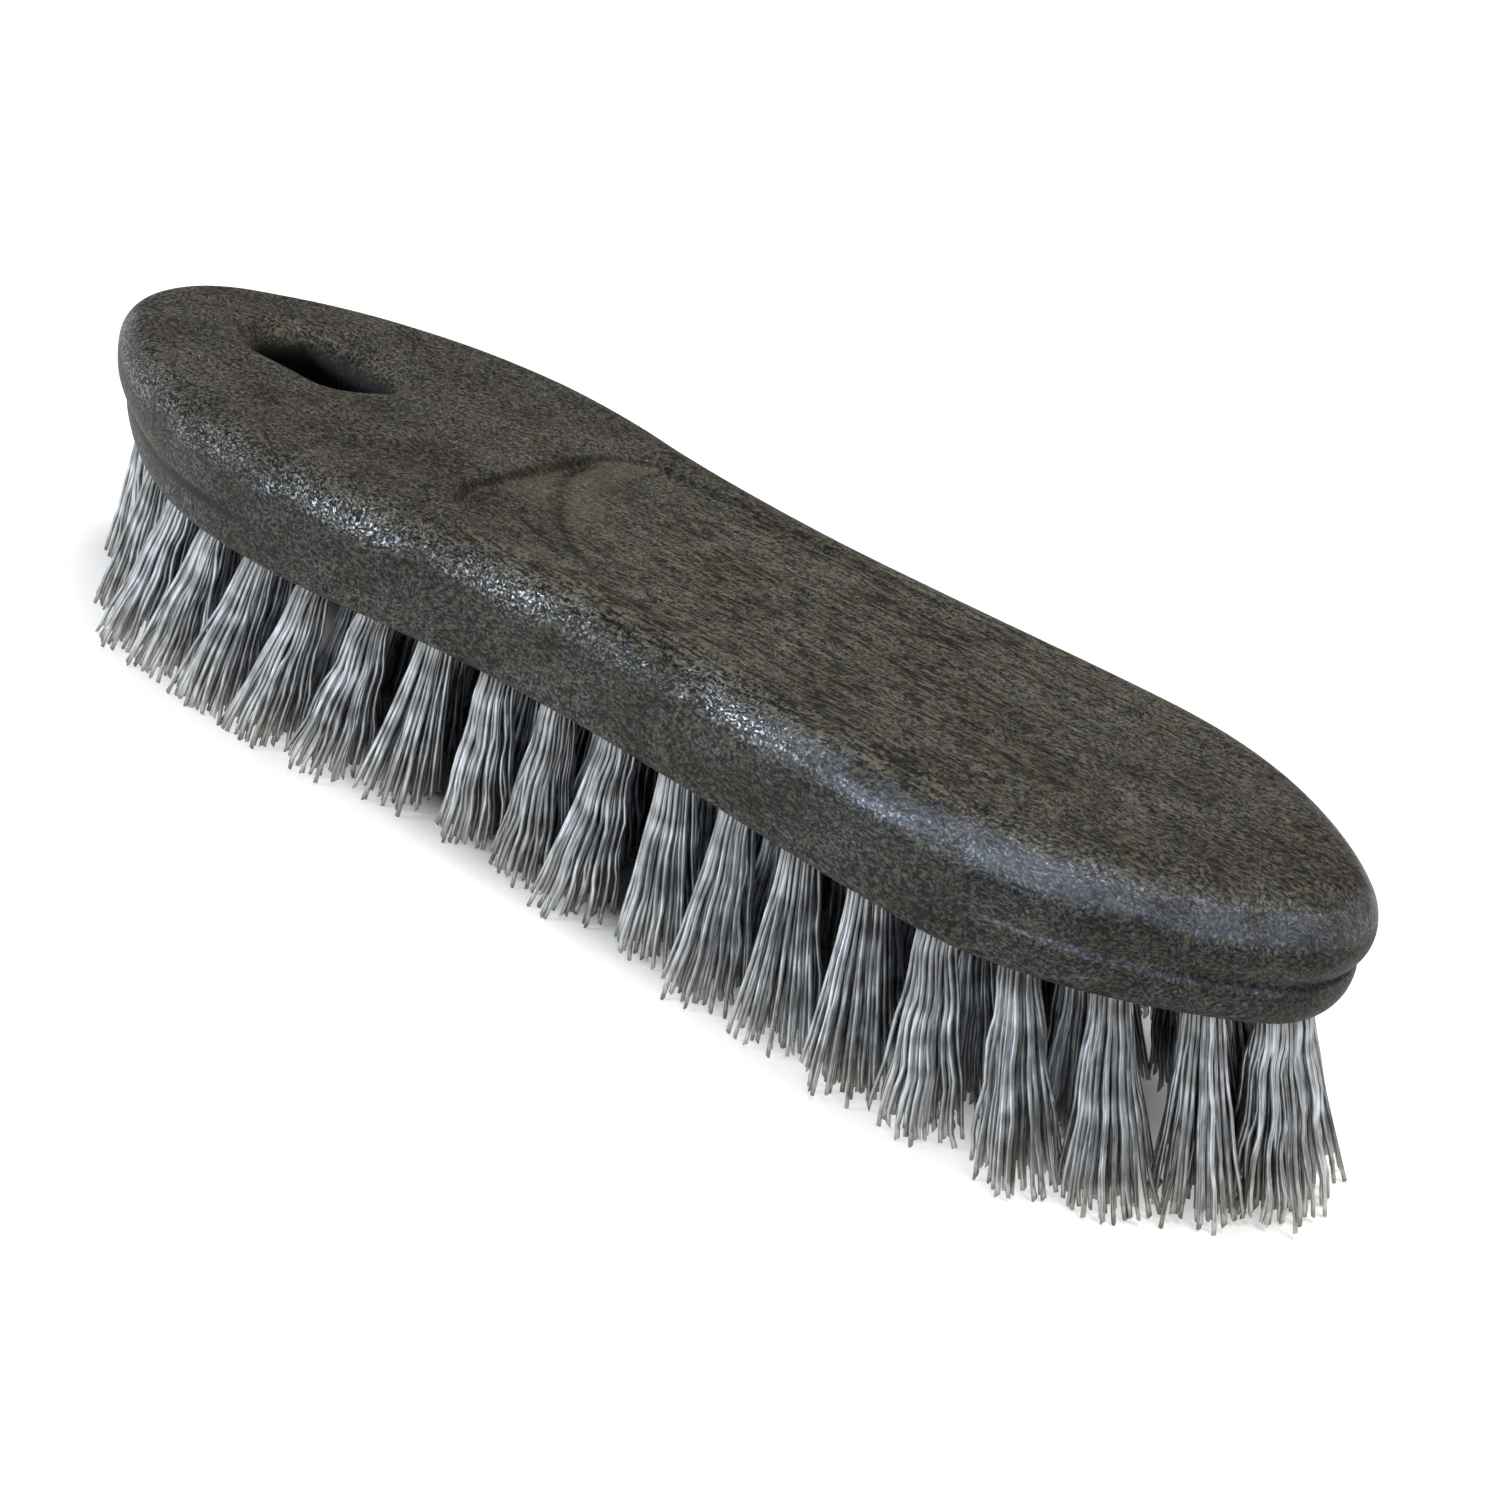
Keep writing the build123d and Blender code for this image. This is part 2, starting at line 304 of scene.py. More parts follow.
def edge_crossings(values, cells):
    """For each cell, the sum of the places where its edges cross 0, and how many of them do."""
    inside = values < 0
    corners = [(i, j, k) for i in (0, 1) for j in (0, 1) for k in (0, 1)]

    def at(array, corner):
        return array[tuple(slice(first, first + n) for first, n in zip(corner, cells))]

    total = np.zeros(cells + (3,))
    crossings = np.zeros(cells)
    for near in corners:
        for axis in range(3):
            if near[axis]:
                continue
            far = tuple(place + (i == axis) for i, place in enumerate(near))
            near_value, far_value = at(values, near), at(values, far)
            cut = at(inside, near) != at(inside, far)
            share = np.where(cut, near_value / np.where(cut, near_value - far_value, 1.0), 0.0)
            spot = np.zeros(cells + (3,)) + np.array(near, float)
            spot[..., axis] += share
            total += spot * cut[..., None]
            crossings += cut
    return total, crossings


def quads_across(inside, number, axis):
    """The quads round the grid edges along one axis that cross the surface, facing outwards."""
    cells = number.shape
    second, third = (axis + 1) % 3, (axis + 2) % 3
    before = tuple(slice(1, cells[i]) if i != axis else slice(0, cells[i]) for i in range(3))
    after = tuple(slice(1, cells[i]) if i != axis else slice(1, cells[i] + 1) for i in range(3))
    low_in, high_in = inside[before], inside[after]
    spots = np.stack(np.nonzero(low_in != high_in), 1)
    spots += np.array([0 if i == axis else 1 for i in range(3)])
    outward = low_in[low_in != high_in]
    ring = []
    for second_shift, third_shift in ((0, 0), (-1, 0), (-1, -1), (0, -1)):
        near = spots.copy()
        near[:, second] += second_shift
        near[:, third] += third_shift
        ring.append(number[tuple(near.T)])
    ring = np.stack(ring, 1)
    ring[~outward] = ring[~outward][:, ::-1]
    return ring


def surface_net(field, low, size, counts):
    """A mesh of quads on the zero surface of a field, one point for each cell it crosses."""
    axes = [low[i] + size * np.arange(counts[i]) for i in range(3)]
    grid = np.stack(np.meshgrid(*axes, indexing="ij"), -1)
    values = field(grid.reshape(-1, 3)).reshape(counts)
    cells = tuple(count - 1 for count in counts)
    total, crossings = edge_crossings(values, cells)
    active = crossings > 0
    number = np.full(cells, -1)
    number[active] = np.arange(active.sum())
    base = np.stack(np.nonzero(active), 1)
    points = low + size * (base + total[active] / crossings[active][:, None])
    quads = [quads_across(values < 0, number, axis) for axis in range(3)]
    return points, np.concatenate(quads)


def settle(field, points, rounds=4, probe=0.02):
    """Moves points onto the zero surface and returns them with the surface's normals."""
    for _ in range(rounds + 1):
        slope = np.stack(
            [
                (field(points + probe * unit) - field(points - probe * unit)) / (2 * probe)
                for unit in np.eye(3)
            ],
            1,
        )
        size = np.maximum(np.linalg.norm(slope, axis=1, keepdims=True), 0.15)
        points = points - np.clip(field(points)[:, None] / size, -0.3, 0.3) * slope / size
    return points, slope / size


def new_mesh(name, points, faces, smooth=True):
    """A mesh object from points in metres and faces that all have as many sides."""
    mesh = bpy.data.meshes.new(name)
    mesh.vertices.add(len(points))
    mesh.vertices.foreach_set("co", np.ascontiguousarray(points, dtype=np.float32).ravel())
    sides = faces.shape[1]
    mesh.loops.add(faces.size)
    mesh.loops.foreach_set("vertex_index", np.ascontiguousarray(faces, dtype=np.int32).ravel())
    mesh.polygons.add(len(faces))
    mesh.polygons.foreach_set("loop_start", np.arange(len(faces), dtype=np.int32) * sides)
    mesh.update(calc_edges=True)
    mesh.polygons.foreach_set("use_smooth", np.full(len(faces), smooth))
    piece = bpy.data.objects.new(name, mesh)
    bpy.context.scene.collection.objects.link(piece)
    return piece


def add_attribute(mesh, name, values):
    layer = mesh.attributes.new(name, "FLOAT", "POINT")
    layer.data.foreach_set("value", np.ascontiguousarray(values, dtype=np.float32))


# ---------------------------------------------------------------- block


def waviness(point):
    """The slow unevenness of the moulded surface at a point."""
    place = Vector(point)
    return noise.noise(place * 0.075) + 0.4 * noise.noise(place * 0.19)


def block_surface(size):
    """The points, normals and faces of the moulding, with z as the height over the underside."""
    low = np.array([-LENGTH / 2, block_low[1], 0.0]) - GRID_MARGIN
    high = np.array([LENGTH / 2, block_high[1], THICKNESS]) + GRID_MARGIN
    counts = tuple(int(count) for count in np.ceil((high - low) / size) + 1)
    points, quads = surface_net(block_field, low, size, counts)
    points, normals = settle(block_field, points)
    waves = np.array([waviness(point) for point in points])
    points = points - normals * (WAVE_HEIGHT * (0.5 + 0.6 * waves)[:, None])
    return points, normals, quads


def painted_shade_mark(points, up, in_panel):
    """Painted shade on the block: darker in its folds, end grooves, slot, panel edge and side walls."""
    x, y, z = points.T
    depth = inwards(x, y)
    fold_line = line(beside(x, y, FOLD), 0.6) * (1.0 - step(-4.0, 14.0, x))
    fold_line += 0.35 * line(beside(x, y, SECOND_FOLD), 0.9) * (1.0 - step(-2.0, 16.0, x))
    ends = 1.2 * step(32.0, 62.0, -x) + 0.4 * step(80.0, 98.0, x)
    groove = line(z - GROOVE_SHADE_LEVEL, 0.5) * ends * (1.0 - step(3.0, 5.0, depth))
    sunk = step(1.0, 3.6, back_height(x, y, depth) - z)
    throat = sunk * (1.0 - step(1.5, 4.0, slot_distance(x, y)))
    crisp = step(-0.9, 0.9, inside_heel_end(x, y)) * step(-0.9, 0.9, PANEL_FAR_Y - y)
    panel_edge = 2.6 * crisp * (1.0 - crisp) * step(-18.0, -8.0, y) * (1.0 - step(24.0, 44.0, x))
    walls = 0.3 * (1.0 - step(0.05, 0.4, up))
    return np.clip(0.65 * fold_line * in_panel + groove + throat + panel_edge + walls, 0.0, 1.0)


def leaf_mark(x, y):
    """The two smooth leaves of the panel, before its first fold and between the two folds."""
    fold, second = beside(x, y, FOLD), beside(x, y, SECOND_FOLD)
    first_leaf = (1.0 - step(-1.6, -0.3, fold)) * (1.0 - step(-21.0, -12.0, x)) * step(-9.0, -3.0, y)
    second_leaf = step(0.3, 1.6, fold) * (1.0 - step(-1.0, 1.5, second)) * (1.0 - step(-16.0, 0.0, x))
    return first_leaf + second_leaf


def block_marks(points, normals):
    """Where the block's material changes, each mark from 0 to 1 at each point."""
    x, y, _ = points.T
    up = normals[:, 2]
    top = step(0.55, 0.9, up)
    in_panel = panel_mask(x, y) * top
    shoulder = (1.0 - step(0.70, 0.95, up)) * (0.12 + 0.88 * step(0.10, 0.42, up))
    return {
        "edge": shoulder * (1.0 - step(7.5, 10.0, inwards(x, y))),
        "leaf": np.clip(in_panel * leaf_mark(x, y), 0.0, 1.0),
        "nose": step(26.0, 62.0, x),
        "painted_shade": painted_shade_mark(points, up, in_panel),
        "waist": step(-30.0, 4.0, x) * (1.0 - 0.6 * step(40.0, 80.0, x)) * (0.3 + 0.7 * top),
    }


def make_block(size):
    """The moulding, as a fine mesh on the zero surface of its field."""
    points, normals, quads = block_surface(size)
    marks = block_marks(points, normals)
    points[:, 2] += UNDERSIDE
    piece = new_mesh("brush_block", points * MM, quads)
    for name, values in marks.items():
        add_attribute(piece.data, name, values)
    return piece


# ---------------------------------------------------------------- bristles

FILAMENTS = 60  # strands in a tuft
FILAMENT_RADIUS = 0.29
FILAMENT_SIDES = 6
FILAMENT_RINGS = 18
CUT_END = [[0, 5, 4, 3], [0, 3, 2, 1]]  # a filament's end, as two quads
HOLE_RADIUS = 2.15  # of the bundle where it leaves the block
TIP_RADIUS = 5.5  # of the bundle at its tips
FAN_POWER = 1.3  # above 1, the bundle widens mostly towards its tips
STRAY_SHARE = 0.06
CRIMP_LENGTH = 9.5
CRIMP_HEIGHT = 0.19
SUNK_SHARE = 0.07  # of its length that a filament runs on into the block
FLOOR_GAP = 0.02  # the lowest that a cut end reaches
BOX_GAP = 0.2  # between the filaments and the sides of the CAD model's box
HOLD = 2.0  # over this depth the filaments are pressed in from the sides of the box
TOUCH = 0.01  # nearer than this counts as touching
FOLD_SPAN = 1.2  # within this of its far end lies the flat end of a CAD tuft
GOLDEN_ANGLE = math.pi * (3 - math.sqrt(5))


def tuft_axes(node):
    """The mouth and the tip centre of each tuft in a CAD node, in millimetres.

    At the heel, and a little at the nose, the tips are set under the mouth, more upright than
    in the CAD model.
    """
    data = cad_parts[node].data
    points = np.empty(len(data.vertices) * 3, dtype=np.float32)
    data.vertices.foreach_get("co", points)
    points = points.reshape(-1, 3).astype(float) / MM
    paired = np.abs(points[:, 1]).min() > TOUCH
    sides = [points[points[:, 1] > 0], points[points[:, 1] < 0]] if paired else [points]
    axes = []
    for side in sides:
        tip = np.unique(side[side[:, 2] < TOUCH].round(3), axis=0).mean(0)
        far = np.linalg.norm(side - tip, axis=1)
        fold = np.unique(side[far > far.max() - FOLD_SPAN].round(3), axis=0).mean(0)
        along = (UNDERSIDE - tip[2]) / (fold[2] - tip[2])
        mouth = tip + (fold - tip) * along
        upright = step(70.0, 86.0, -mouth[0]) + 0.2 * step(76.0, 96.0, mouth[0])
        axes.append((mouth, tip + (mouth - tip) * np.array([upright, upright, 0.0])))
    return axes


def held_in(places):
    """Plan places pressed softly back inside the box of the CAD model."""
    low, high = (np.array(corner[:2]) / MM for corner in cad_box)
    middle, reach = (low + high) / 2, (high - low) / 2 - FILAMENT_RADIUS - BOX_GAP
    out = places - middle
    free = reach - HOLD
    over = np.maximum(np.abs(out) - free, 0.0)
    return middle + np.sign(out) * np.where(over > 0, free + HOLD * np.tanh(over / HOLD), np.abs(out))


def fanned(rng):
    """Each filament's share of the bundle's radius, and its offsets at the mouth and the tip."""
    share = np.sqrt((np.arange(FILAMENTS) + 0.5) / FILAMENTS)
    angle = np.arange(FILAMENTS) * GOLDEN_ANGLE + rng.uniform(0, 2 * math.pi)
    way = np.stack([np.cos(angle), np.sin(angle)], 1)
    root = way * (share * HOLE_RADIUS)[:, None]
    end = way * (share * rng.normal(TIP_RADIUS, 0.35, FILAMENTS))[:, None]
    stray = rng.random(FILAMENTS) < STRAY_SHARE
    end += rng.normal(0, 0.35, (FILAMENTS, 2)) + stray[:, None] * rng.normal(0, 2.4, (FILAMENTS, 2))
    bundle_lean = rng.normal(0, 0.8, 2)
    return share, root, end + bundle_lean


def crimped(run, rng):
    """The sideways offsets of the filaments' waves, from the depths under the block."""
    plane = rng.uniform(0, 2 * math.pi) + rng.normal(0, 0.35, FILAMENTS)
    phase = rng.uniform(0, 2 * math.pi) + rng.normal(0, 0.5, FILAMENTS)
    wave = CRIMP_LENGTH * rng.normal(1.0, 0.05) * rng.normal(1.0, 0.03, FILAMENTS)
    height = rng.normal(CRIMP_HEIGHT, 0.05, FILAMENTS)
    turn = 2 * math.pi * run / wave[:, None] + phase[:, None]
    grow = step(0.0, 4.0, run) * height[:, None]
    crimp = (np.sin(turn) + 0.22 * np.sin(2.3 * turn + plane[:, None])) * grow
    return np.stack([np.cos(plane), np.sin(plane)], 1)[:, None, :] * crimp[..., None]


def swept(lines, rng):
    """Tubes along the filaments' centre lines, with slanting cut ends that clear the floor."""
    tangent = np.gradient(lines, axis=1)
    tangent /= np.linalg.norm(tangent, axis=2, keepdims=True)
    side_way = np.cross(tangent, np.array([0.0, 1.0, 0.0]))
    side_way /= np.linalg.norm(side_way, axis=2, keepdims=True)
    up_way = np.cross(side_way, tangent)
    turns = np.linspace(0, 2 * math.pi, FILAMENT_SIDES, endpoint=False)
    ring = (
        np.cos(turns)[None, None, :, None] * side_way[:, :, None, :]
        + np.sin(turns)[None, None, :, None] * up_way[:, :, None, :]
    )
    radius = FILAMENT_RADIUS * rng.normal(1.0, 0.06, FILAMENTS)
    tubes = lines[:, :, None, :] + ring * radius[:, None, None, None]
    slant = rng.normal(0, 0.8, (FILAMENTS, 2))
    tubes[:, -1, :, 2] += (ring[:, -1, :, :2] * slant[:, None, :]).sum(-1) * radius[:, None]
    tubes[..., 2] = np.maximum(tubes[..., 2], FLOOR_GAP)
    return tubes


def make_tuft(mouth, tip, rng):
    """The filaments of one tuft, as (filament, ring, side, xyz), with their tones, darker inside the tuft
    with painted shade, and their runs.
    """
    share, root, end = fanned(rng)
    cut_short = np.clip(rng.gamma(2.0, 0.3, FILAMENTS), 0.05, 2.4)
    along = np.linspace(-SUNK_SHARE, 1.0, FILAMENT_RINGS)[None, :]
    along = np.where(along > 0, along * (1 - cut_short / UNDERSIDE)[:, None], along)
    run = np.clip(along, 0.0, 1.0)
    fan = np.power(run, FAN_POWER)[..., None]
    across = root[:, None, :] * (1 - fan) + end[:, None, :] * fan
    across += crimped(run * UNDERSIDE, rng)
    lines = mouth + (tip - mouth) * along[..., None]
    lines[..., :2] = held_in(lines[..., :2] + across)
    tubes = swept(lines, rng)
    # Painted shade: strands nearer the middle of the tuft are darker
    tone_and_painted_shade = np.clip(rng.normal(0.76, 0.22, FILAMENTS) - 0.75 * (1.0 - share), 0, 1)
    return tubes, tone_and_painted_shade, run


def make_filaments(node, seed):
    """One mesh for the tufts of a CAD node."""
    rng = np.random.default_rng(seed)
    rings, sides = FILAMENT_RINGS, FILAMENT_SIDES
    tufts = [make_tuft(mouth, tip, rng) for mouth, tip in tuft_axes(node)]
    tubes, tones_and_painted_shades, runs = (np.concatenate(values) for values in zip(*tufts))
    count = len(tubes)
    number = np.arange(count * rings * sides).reshape(count, rings, sides)
    around = np.roll(number, -1, axis=2)
    quads = np.stack([number[:, :-1], number[:, 1:], around[:, 1:], around[:, :-1]], -1).reshape(-1, 4)
    caps = number[:, -1][:, CUT_END].reshape(-1, 4)
    piece = new_mesh(f"{node}_filaments", tubes.reshape(-1, 3) * MM, np.concatenate([quads, caps]))
    smooth = np.concatenate([np.ones(len(quads), bool), np.zeros(len(caps), bool)])
    piece.data.polygons.foreach_set("use_smooth", smooth)
    add_attribute(piece.data, "tone_and_painted_shade", np.repeat(tones_and_painted_shades, rings * sides))
    add_attribute(piece.data, "run", np.repeat(runs.reshape(-1), sides))
    return piece


# ---------------------------------------------------------------- materials

SKIN_DARK = (0.008, 0.0075, 0.0068, 1)
SKIN_BROWN = (0.180, 0.154, 0.107, 1)
SKIN_OLIVE = (0.158, 0.147, 0.110, 1)
# Colours of the painted glints along the shoulder, bluish towards the nose
GLINT_GREY = (0.60, 0.64, 0.72, 1)
GLINT_BLUE = (0.50, 0.57, 0.72, 1)
# The strands' tone runs from FILAMENT_DARK, which also gives their painted shade, to the pale bluish
# FILAMENT_PALE, which also gives their painted highlights
FILAMENT_DARK = (0.042, 0.040, 0.029, 1)
FILAMENT_PALE = (0.90, 0.94, 1.0, 1)
FILAMENT_WORN = (0.46, 0.425, 0.335, 1)
WIRE_DULL = (0.42, 0.42, 0.41, 1)
WIRE_BRIGHT = (0.66, 0.65, 0.63, 1)
FLOOR_GREY = (0.82, 0.82, 0.82, 1)
WHITE = (1, 1, 1, 1)

BRUSH_REACH = (0.100, 0.027)  # in metres, the oval under the brush where the floor doesn't glow


class Nodes:
    """Builds the node tree of a material or a world."""

    def __init__(self, owner):
        self.owner = owner
        owner.use_nodes = True
        self.tree = owner.node_tree
        self.tree.nodes.clear()

    def add(self, kind, inputs=None, **settings):
        """A node, with each input linked to a socket or set to a value."""
        made = self.tree.nodes.new(kind)
        for key, value in settings.items():
            setattr(made, key, value)
        for key, value in (inputs or {}).items():
            if isinstance(value, bpy.types.NodeSocket):
                self.tree.links.new(value, made.inputs[key])
            else:
                made.inputs[key].default_value = value
        return made

    def math(self, operation, *values):
        return self.add("ShaderNodeMath", dict(enumerate(values)), operation=operation).outputs[0]

    def plus(self, first, second):
        return self.math("ADD", first, second)

    def minus(self, first, second):
        return self.math("SUBTRACT", first, second)

    def times(self, first, second):
        return self.math("MULTIPLY", first, second)

    def without(self, value, share, by=1.0):
        """A value, multiplied by 1 where share is 0 and by 1 - by where share is 1."""
        taken = share if by == 1.0 else self.times(share, by)
        return self.times(value, self.minus(1.0, taken))

    def vector(self, operation, first, second):
        made = self.add("ShaderNodeVectorMath", {0: first, 1: second}, operation=operation)
        return made.outputs[0]

    def length(self, vector):
        return self.add("ShaderNodeVectorMath", {0: vector}, operation="LENGTH").outputs["Value"]

    def place(self):
        """The place on the object, in metres."""
        return self.add("ShaderNodeTexCoord").outputs["Object"]

    def attribute(self, name):
        return self.add("ShaderNodeAttribute", attribute_name=name).outputs["Fac"]

    def noise(self, place, pitch, detail=2.0, roughness=0.5, distortion=0.0):
        """Noise with pitch cells to the metre along x, y and z."""
        inputs = {
            "Vector": self.vector("MULTIPLY", place, pitch),
            "Scale": 1.0,
            "Detail": detail,
            "Roughness": roughness,
            "Distortion": distortion,
        }
        return self.add("ShaderNodeTexNoise", inputs).outputs["Fac"]

    def remap(self, value, low, high, to_low=0.0, to_high=1.0, **settings):
        """A value taken from one range to another, and kept within it."""
        inputs = {"Value": value, "From Min": low, "From Max": high, "To Min": to_low, "To Max": to_high}
        return self.add("ShaderNodeMapRange", inputs, **settings).outputs[0]

    def blend_values(self, share, first, second):
        """first where share is 0 and second where it is 1."""
        return self.plus(first, self.times(share, self.minus(second, first)))

    def blend(self, share, first, second):
        """The first colour where share is 0 and the second where it is 1."""
        made = self.add("ShaderNodeMix", {0: share, 6: first, 7: second}, data_type="RGBA")
        return made.outputs[2]

    def finish(self, shader, output="ShaderNodeOutputMaterial"):
        self.add(output, {"Surface": shader})
        return self.owner


def drifted(nodes, place):
    """A place moved about by slow noise, so that a pattern on it isn't straight."""
    drift = nodes.add("ShaderNodeTexNoise", {"Vector": place, "Scale": 90.0, "Detail": 2.0})
    drift = nodes.vector("SUBTRACT", drift.outputs["Color"], (0.5, 0.5, 0.5))
    return nodes.vector("ADD", place, nodes.vector("MULTIPLY", drift, (0.005, 0.005, 0.005)))


def skin_height(nodes, place, bent, grain, marks):
    """The relief of the grain, pebbled along the shoulder and smooth on the panel's leaves."""
    cells = {"Vector": nodes.vector("MULTIPLY", bent, (850.0, 1150.0, 1150.0))}
    cells = {**cells, "Scale": 1.0, "Smoothness": 0.35}
    pebble = nodes.add("ShaderNodeTexVoronoi", cells, feature="SMOOTH_F1").outputs["Distance"]
    pebble = nodes.minus(1.0, pebble)
    pebbled = nodes.times(
        nodes.remap(marks["edge"], 0.0, 1.0, 0.12, 0.75), nodes.remap(marks["nose"], 0.0, 1.0, 1.0, 0.6)
    )
    crack = nodes.noise(place, (160.0, 420.0, 420.0), 2.0, 0.5, 1.4)
    crack = nodes.remap(nodes.math("ABSOLUTE", nodes.minus(crack, 0.5)), 0.0, 0.035)
    height = nodes.plus(nodes.times(grain, 0.8), nodes.times(pebble, pebbled))
    height = nodes.plus(height, nodes.times(crack, nodes.times(marks["edge"], 0.25)))
    return nodes.without(height, marks["leaf"], 0.65)


def skin_tone(nodes, grain, patches, flecks, marks):
    """How light the skin is, from 0 to 1: grain and flecks, plain on the leaves, painted light at the
    waist, painted shade in creases.
    """
    tone = nodes.times(nodes.remap(patches, 0.35, 0.65), 0.2)
    tone = nodes.plus(tone, nodes.times(nodes.remap(grain, 0.40, 0.60), 0.75))
    tone = nodes.times(tone, nodes.remap(flecks, 0.36, 0.60, 0.15, 1.0))
    # Painted light: up to a quarter lighter at the waist, mostly on its top
    tone = nodes.times(tone, nodes.remap(marks["waist"], 0.0, 1.0, 1.0, 1.25))
    tone = nodes.remap(tone, 0.06, 0.86)
    plain = nodes.plus(0.40, nodes.times(nodes.remap(flecks, 0.38, 0.62), 0.60))
    tone = nodes.blend_values(nodes.times(marks["leaf"], 0.6), tone, plain)
    # Painted shade darkens the folds, end grooves, slot, panel edge and side walls
    return nodes.without(tone, marks["painted_shade"], 0.9)


def skin_glint(nodes, bent, patches, marks):
    """How shiny the skin is: painted glints along the shoulder, with metallic shine, running together at
    the nose into a painted sheen.
    """
    glint = nodes.noise(bent, (2300.0, 3000.0, 3000.0), 1.0, 0.5, 0.3)
    glint = nodes.remap(glint, 0.52, 0.70)
    even = nodes.times(nodes.times(marks["nose"], marks["edge"]), 0.5)
    glint = nodes.blend_values(even, glint, 0.5)
    glint = nodes.times(glint, nodes.remap(marks["edge"], 0.0, 1.0, 0.22, 0.85))
    glint = nodes.times(glint, nodes.remap(patches, 0.36, 0.58, 0.15, 1.0))
    glint = nodes.without(glint, marks["painted_shade"])
    return nodes.without(glint, marks["leaf"], 0.4)


def block_material():
    """Dark moulded plastic with a leather-like grain, drawn out lengthways at the waist."""
    nodes = Nodes(bpy.data.materials.new("moulded_block"))
    place = nodes.place()
    bent = drifted(nodes, place)
    marks = {name: nodes.attribute(name) for name in ("edge", "leaf", "nose", "painted_shade", "waist")}
    curly = nodes.noise(bent, (1150.0, 1900.0, 1900.0), 3.0, 0.65, 0.9)
    drawn = nodes.noise(place, (300.0, 1900.0, 1900.0), 3.0, 0.65, 0.7)
    grain = nodes.blend_values(marks["waist"], curly, drawn)
    patches = nodes.noise(place, (70.0, 120.0, 120.0), 4.0, 0.65, 0.4)
    flecks = nodes.noise(bent, (1500.0, 2600.0, 2600.0), 1.0, 0.5, 0.5)
    hue = nodes.noise(place, (260.0, 500.0, 500.0), 2.0, 0.5, 0.3)

    height = skin_height(nodes, place, bent, grain, marks)
    bump = nodes.add("ShaderNodeBump", {"Height": height, "Strength": 1.0, "Distance": 0.00018})
    tone = skin_tone(nodes, grain, patches, flecks, marks)
    colour = nodes.blend(tone, SKIN_DARK, nodes.blend(nodes.remap(hue, 0.35, 0.65), SKIN_BROWN, SKIN_OLIVE))
    glint = skin_glint(nodes, bent, patches, marks)
    # Painted glints and sheen, also shown as metallic shine
    colour = nodes.blend(glint, colour, nodes.blend(marks["nose"], GLINT_GREY, GLINT_BLUE))
    rough = nodes.minus(nodes.remap(marks["edge"], 0.0, 1.0, 0.54, 0.42), nodes.times(glint, 0.16))
    inputs = {"Base Color": colour, "Roughness": rough, "Metallic": glint, "Normal": bump.outputs[0]}
    shader = nodes.add("ShaderNodeBsdfPrincipled", {**inputs, "Specular IOR Level": 0.18})
    return nodes.finish(shader.outputs[0])


def filament_material():
    """Grey extruded filament with a silky gloss and painted highlight bands, darker at its root with
    painted shade, and worn dull at its tip.
    """
    nodes = Nodes(bpy.data.materials.new("bristle_filament"))
    place = nodes.place()
    tone_and_painted_shade, run = nodes.attribute("tone_and_painted_shade"), nodes.attribute("run")
    streak = nodes.noise(place, (1100.0, 1100.0, 140.0), 2.0, 0.5)
    tone = nodes.plus(nodes.times(tone_and_painted_shade, 0.65), nodes.times(nodes.remap(streak, 0.35, 0.65), 0.35))
    # Painted highlight bands across the strands, as where their waves catch the light
    painted_highlight_band = nodes.noise(place, (170.0, 170.0, 330.0), 1.0, 0.5)
    tone = nodes.times(tone, nodes.remap(painted_highlight_band, 0.35, 0.65, 0.55, 1.25))
    # Painted shade: darker towards the root
    tone = nodes.times(tone, nodes.remap(run, 0.0, 0.3, 0.5, 1.0))
    body = nodes.blend(nodes.math("MINIMUM", tone, 1.0), FILAMENT_DARK, FILAMENT_PALE)
    colour = nodes.blend(nodes.times(nodes.remap(run, 0.6, 1.0), 0.5), body, FILAMENT_WORN)
    inputs = {"Base Color": colour, "Roughness": 0.24, "Metallic": 0.62, "Specular IOR Level": 0.8}
    shader = nodes.add("ShaderNodeBsdfPrincipled", inputs)
    return nodes.finish(shader.outputs[0])


def anchor_material():
    """Drawn flat wire."""
    nodes = Nodes(bpy.data.materials.new("anchor_wire"))
    drawn = nodes.noise(nodes.place(), (4000.0, 400.0, 4000.0), 3.0, 0.6)
    colour = nodes.blend(drawn, WIRE_DULL, WIRE_BRIGHT)
    rough = nodes.remap(drawn, 0.3, 0.7, 0.25, 0.42)
    inputs = {"Base Color": colour, "Metallic": 1.0, "Roughness": rough}
    shader = nodes.add("ShaderNodeBsdfPrincipled", inputs)
    return nodes.finish(shader.outputs[0])


def floor_material():
    """Pale floor that the camera sees as white, with the shadow kept.

    It glows less near the brush than far off, and not at all under it, where the gaps between
    the tufts are dark.
    """
    nodes = Nodes(bpy.data.materials.new("pale_floor"))
    path = nodes.add("ShaderNodeLightPath").outputs
    place = nodes.place()
    far_glow = nodes.times(nodes.remap(nodes.length(place), 0.5, 2.5), 0.5)
    seen = nodes.times(path["Is Camera Ray"], nodes.plus(0.62, far_glow))
    seen = nodes.plus(seen, nodes.times(path["Is Glossy Ray"], 0.50))
    under = nodes.length(nodes.vector("MULTIPLY", place, (1 / BRUSH_REACH[0], 1 / BRUSH_REACH[1], 0.0)))
    seen = nodes.times(seen, nodes.remap(under, 0.75, 1.15))
    matt = nodes.add("ShaderNodeBsdfDiffuse", {"Color": FLOOR_GREY})
    glow = nodes.add("ShaderNodeEmission", {"Color": WHITE, "Strength": seen})
    both = nodes.add("ShaderNodeAddShader", {0: matt.outputs[0], 1: glow.outputs[0]})
    return nodes.finish(both.outputs[0])


# ---------------------------------------------------------------- stage

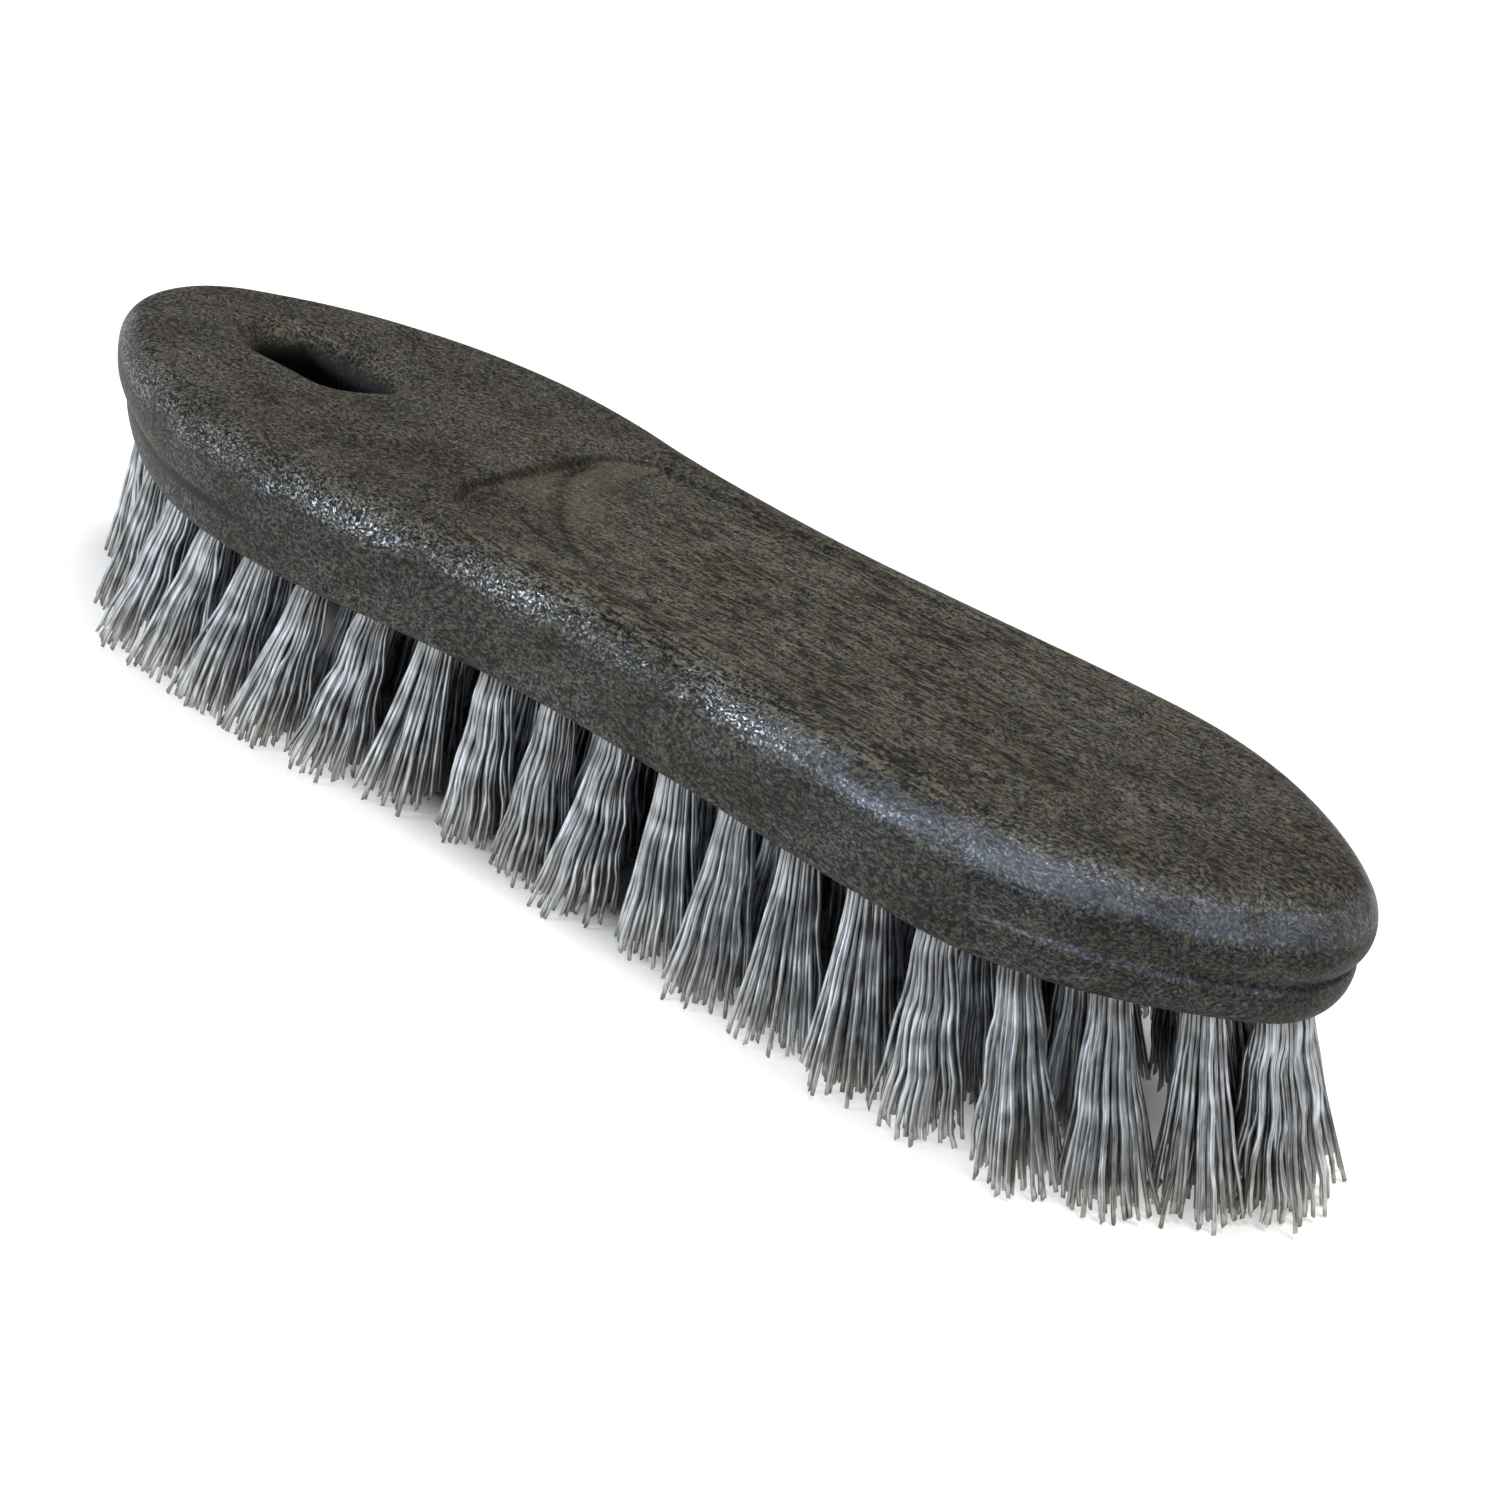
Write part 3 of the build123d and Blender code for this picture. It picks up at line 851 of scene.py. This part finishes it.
FLOOR_REACH = 6.0  # in metres, as are the places and sizes of the lamps
BRUSH_MIDDLE = (0, 0, 0.02)
HORIZON_LIGHT = 0.34
OVERHEAD_LIGHT = 0.14

# The camera, with angles in degrees and lengths in millimetres
CAMERA_AZIMUTH = 37.569
CAMERA_ELEVATION = 26.332
CAMERA_ROLL = 10.693
CAMERA_TARGET = (10.631, 10.560, 10.728)
CAMERA_DISTANCE = 356.701
SENSOR_WIDTH = 36.0
FOCAL_LENGTH = 64.889


def make_floor():
    corners = np.array([[-1, -1, 0], [1, -1, 0], [1, 1, 0], [-1, 1, 0]]) * FLOOR_REACH
    floor = new_mesh("floor", corners, np.array([[0, 1, 2, 3]]), smooth=False)
    floor.data.materials.append(floor_material())


def make_lamp(name, place, size, power, colour):
    """A rectangular lamp that shines at the brush."""
    data = bpy.data.lights.new(name, "AREA")
    data.shape = "RECTANGLE"
    data.size, data.size_y = size
    data.energy = power
    data.color = colour
    lamp = bpy.data.objects.new(name, data)
    lamp.location = place
    way = Vector(BRUSH_MIDDLE) - Vector(place)
    lamp.rotation_euler = way.to_track_quat("-Z", "Y").to_euler()
    bpy.context.scene.collection.objects.link(lamp)


def make_world():
    """White behind the object, and a dimmer studio that is darkest overhead to light it."""
    nodes = Nodes(bpy.data.worlds.new("studio"))
    way = nodes.add("ShaderNodeTexCoord").outputs["Generated"]
    height = nodes.add("ShaderNodeSeparateXYZ", {0: way}).outputs["Z"]
    light = nodes.remap(height, 0.0, 0.5, HORIZON_LIGHT, OVERHEAD_LIGHT, interpolation_type="SMOOTHSTEP")
    seen = nodes.add("ShaderNodeLightPath").outputs["Is Camera Ray"]
    strength = nodes.math("MAXIMUM", light, seen)
    background = nodes.add("ShaderNodeBackground", {"Color": WHITE, "Strength": strength})
    bpy.context.scene.world = nodes.finish(background.outputs[0], "ShaderNodeOutputWorld")


def make_camera():
    angles = (CAMERA_AZIMUTH, CAMERA_ELEVATION, CAMERA_ROLL)
    azimuth, elevation, roll = (math.radians(angle) for angle in angles)
    level = math.cos(elevation)
    back = Vector((math.sin(azimuth) * level, -math.cos(azimuth) * level, math.sin(elevation)))
    right = (-back).cross(Vector((0, 0, 1))).normalized()
    up = right.cross(-back)
    right, up = (
        math.cos(roll) * right + math.sin(roll) * up,
        -math.sin(roll) * right + math.cos(roll) * up,
    )
    data = bpy.data.cameras.new("camera")
    data.sensor_width = SENSOR_WIDTH
    data.lens = FOCAL_LENGTH
    data.clip_start = 0.01
    camera = bpy.data.objects.new("camera", data)
    camera.matrix_world = Matrix((right, up, back)).transposed().to_4x4()
    camera.location = Vector(CAMERA_TARGET) * MM + back * (CAMERA_DISTANCE * MM)
    bpy.context.scene.collection.objects.link(camera)
    bpy.context.scene.camera = camera


block = make_block(BLOCK_CELL)
block.data.materials.append(block_material())
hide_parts(BLOCK)
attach(block, "root")

filament = filament_material()
tuft_nodes = sorted(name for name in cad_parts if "_tuft" in name)
for seed, node in enumerate(tuft_nodes):
    piece = make_filaments(node, seed)
    piece.data.materials.append(filament)
    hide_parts(node)
    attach(piece, "root")

anchor = anchor_material()
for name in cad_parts:
    if name.endswith("_anchors"):
        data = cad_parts[name].data
        data.materials.clear()
        data.materials.append(anchor)

make_floor()
make_world()
make_camera()
make_lamp("window", place=(-1.37, -1.97, 0.71), size=(0.9, 0.45), power=32.0, colour=(0.76, 0.87, 1.0))
make_lamp("ceiling", place=(0.2, 0.5, 2.6), size=(1.4, 1.0), power=45.0, colour=(1.0, 0.965, 0.89))

bpy.context.scene.view_settings.view_transform = "Standard"
